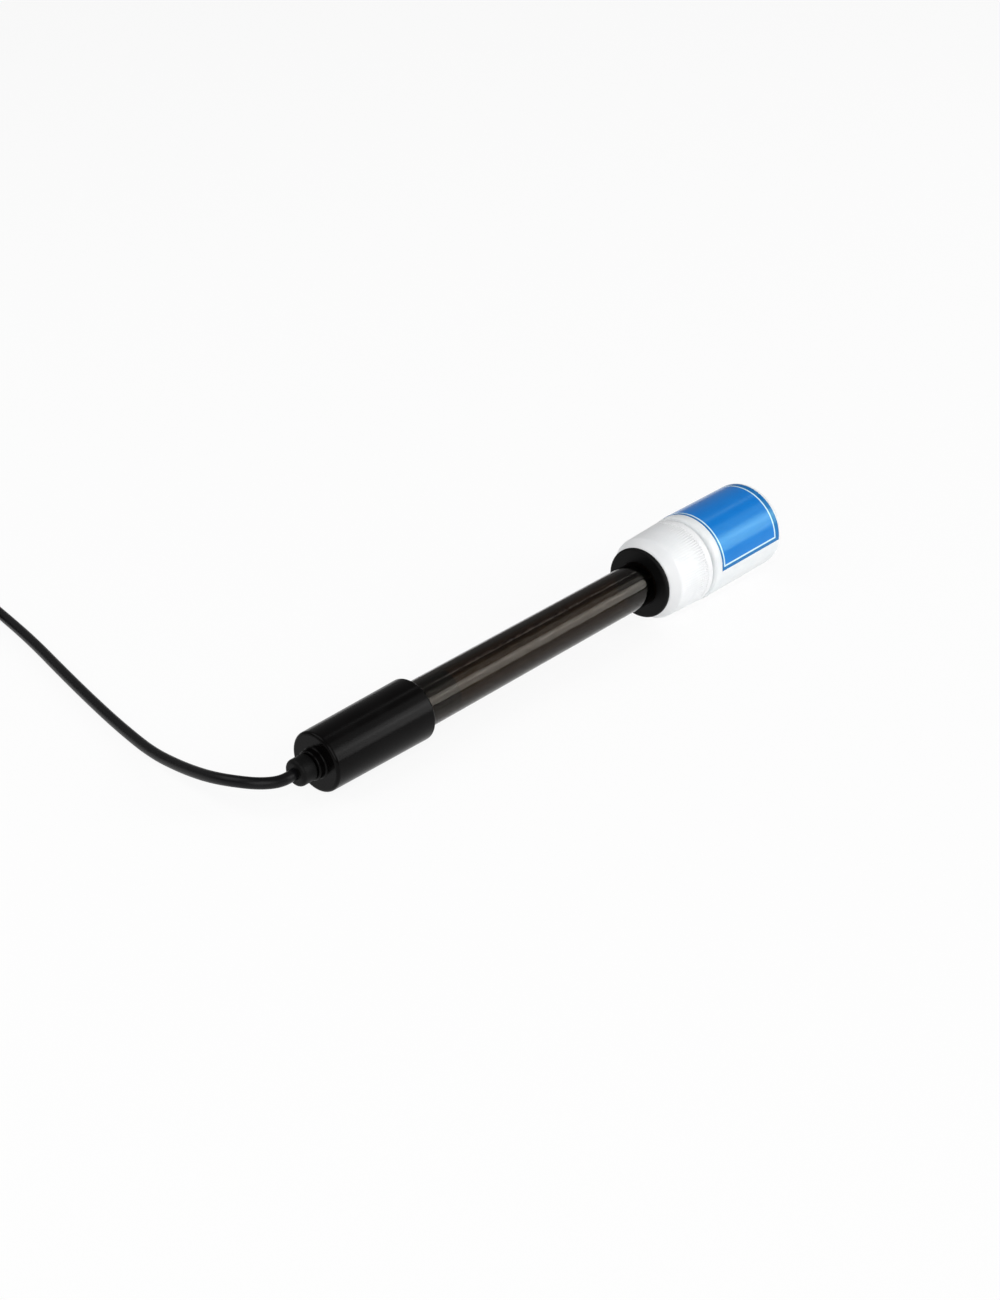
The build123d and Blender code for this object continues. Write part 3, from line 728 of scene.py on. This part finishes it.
bottle_white, paint = new_material("white_bottle_plastic")
milk = noise(paint, 160.0)
ripple = noise(paint, 420.0, 2.0, (0.4, 1.0, 1.0))
milky = step(paint, milk, 0.3, 0.7)
surface(
    paint,
    {
        "Base Color": blend_colour(paint, milky, srgb(243, 246, 247), srgb(236, 240, 242)),
        "Roughness": 0.3 + (milk - 0.5) * 0.12,
        "Subsurface Weight": 0.25,
        "Subsurface Radius": (0.004, 0.004, 0.004),
        "Subsurface Scale": 0.5,
    },
    ripple,
    0.00003,
)
neck_thread = thread("neck_thread", NECK_THREAD_FROM, NECK_THREAD_TURNS, NECK_R, NECK_CREST_R)
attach(neck_thread, "bottle")
for piece in (neck_thread, frame["nodes"]["bottle"], frame["nodes"]["bottle_neck"]):
    wear(piece, bottle_white)

# The label: glossy blue film stuck round most of the bottle.
# A plain pale line runs round it inside the edge, and the margin outside the line is a shade darker.

LABEL_START = 137.9
LABEL_END = 163.7
LABEL_LOW_DEG = 183.4
LABEL_HIGH_DEG = -50.0
LABEL_GAP_DEG = -120.0
LABEL_R = 12.1
LINE_HALF = 0.24
LINE_BLUR = 0.07
NEAR_INSET = 0.8
FAR_INSET = 1.9
SIDE_INSET = 1.3


def place_on_electrode(paint):
    """The object's own point in millimetres: along the axis, to the left of it and above it."""
    point = paint.add("TexCoord", {}, {}, "Object")
    x = paint.add("SeparateXYZ", {}, {0: point}, "X") - axis_start.x
    y = paint.add("SeparateXYZ", {}, {0: point}, "Y")
    z = paint.add("SeparateXYZ", {}, {0: point}, "Z") - axis_start.z
    along = (x * axis.x + z * axis.z) * 1000
    above = (z * axis.x - x * axis.z) * 1000
    return along, y * 1000, above


label_film, paint = new_material("blue_label")
along, left, above = place_on_electrode(paint)
turn = paint.math("ARCTAN2", above, left)
turn = turn + math.tau * paint.math("LESS_THAN", turn, math.radians(LABEL_GAP_DEG))
near_edge = along - (LABEL_START + NEAR_INSET)
far_edge = (LABEL_END - FAR_INSET) - along
low_edge = (math.radians(LABEL_LOW_DEG) - turn) * LABEL_R - SIDE_INSET
high_edge = (turn - math.radians(LABEL_HIGH_DEG)) * LABEL_R - SIDE_INSET
end_edges = paint.math("MINIMUM", near_edge, far_edge)
side_edges = paint.math("MINIMUM", low_edge, high_edge)
inside = paint.math("MINIMUM", end_edges, side_edges)
from_line = paint.math("ABSOLUTE", inside)
pale_line = 1 - step(paint, from_line, LINE_HALF - LINE_BLUR, LINE_HALF + LINE_BLUR)
in_field = step(paint, inside, -LINE_BLUR, LINE_BLUR)
print_cloud = noise(paint, 220.0)
field_blue = blend_colour(paint, print_cloud, srgb(0, 116, 206), srgb(2, 124, 214))
ground = blend_colour(paint, in_field, srgb(2, 108, 180), field_blue)
surface(
    paint,
    {
        "Base Color": blend_colour(paint, pale_line, ground, srgb(214, 242, 252)),
        "Roughness": 0.22 + (print_cloud - 0.5) * 0.1,
        "Specular IOR Level": 0.5,
        "Specular Tint": (0.3, 1.0, 0.95, 1.0),
    },
    noise(paint, 600.0, 2.0),
    0.000012,
)
wear(frame["nodes"]["bottle_label"], label_film)
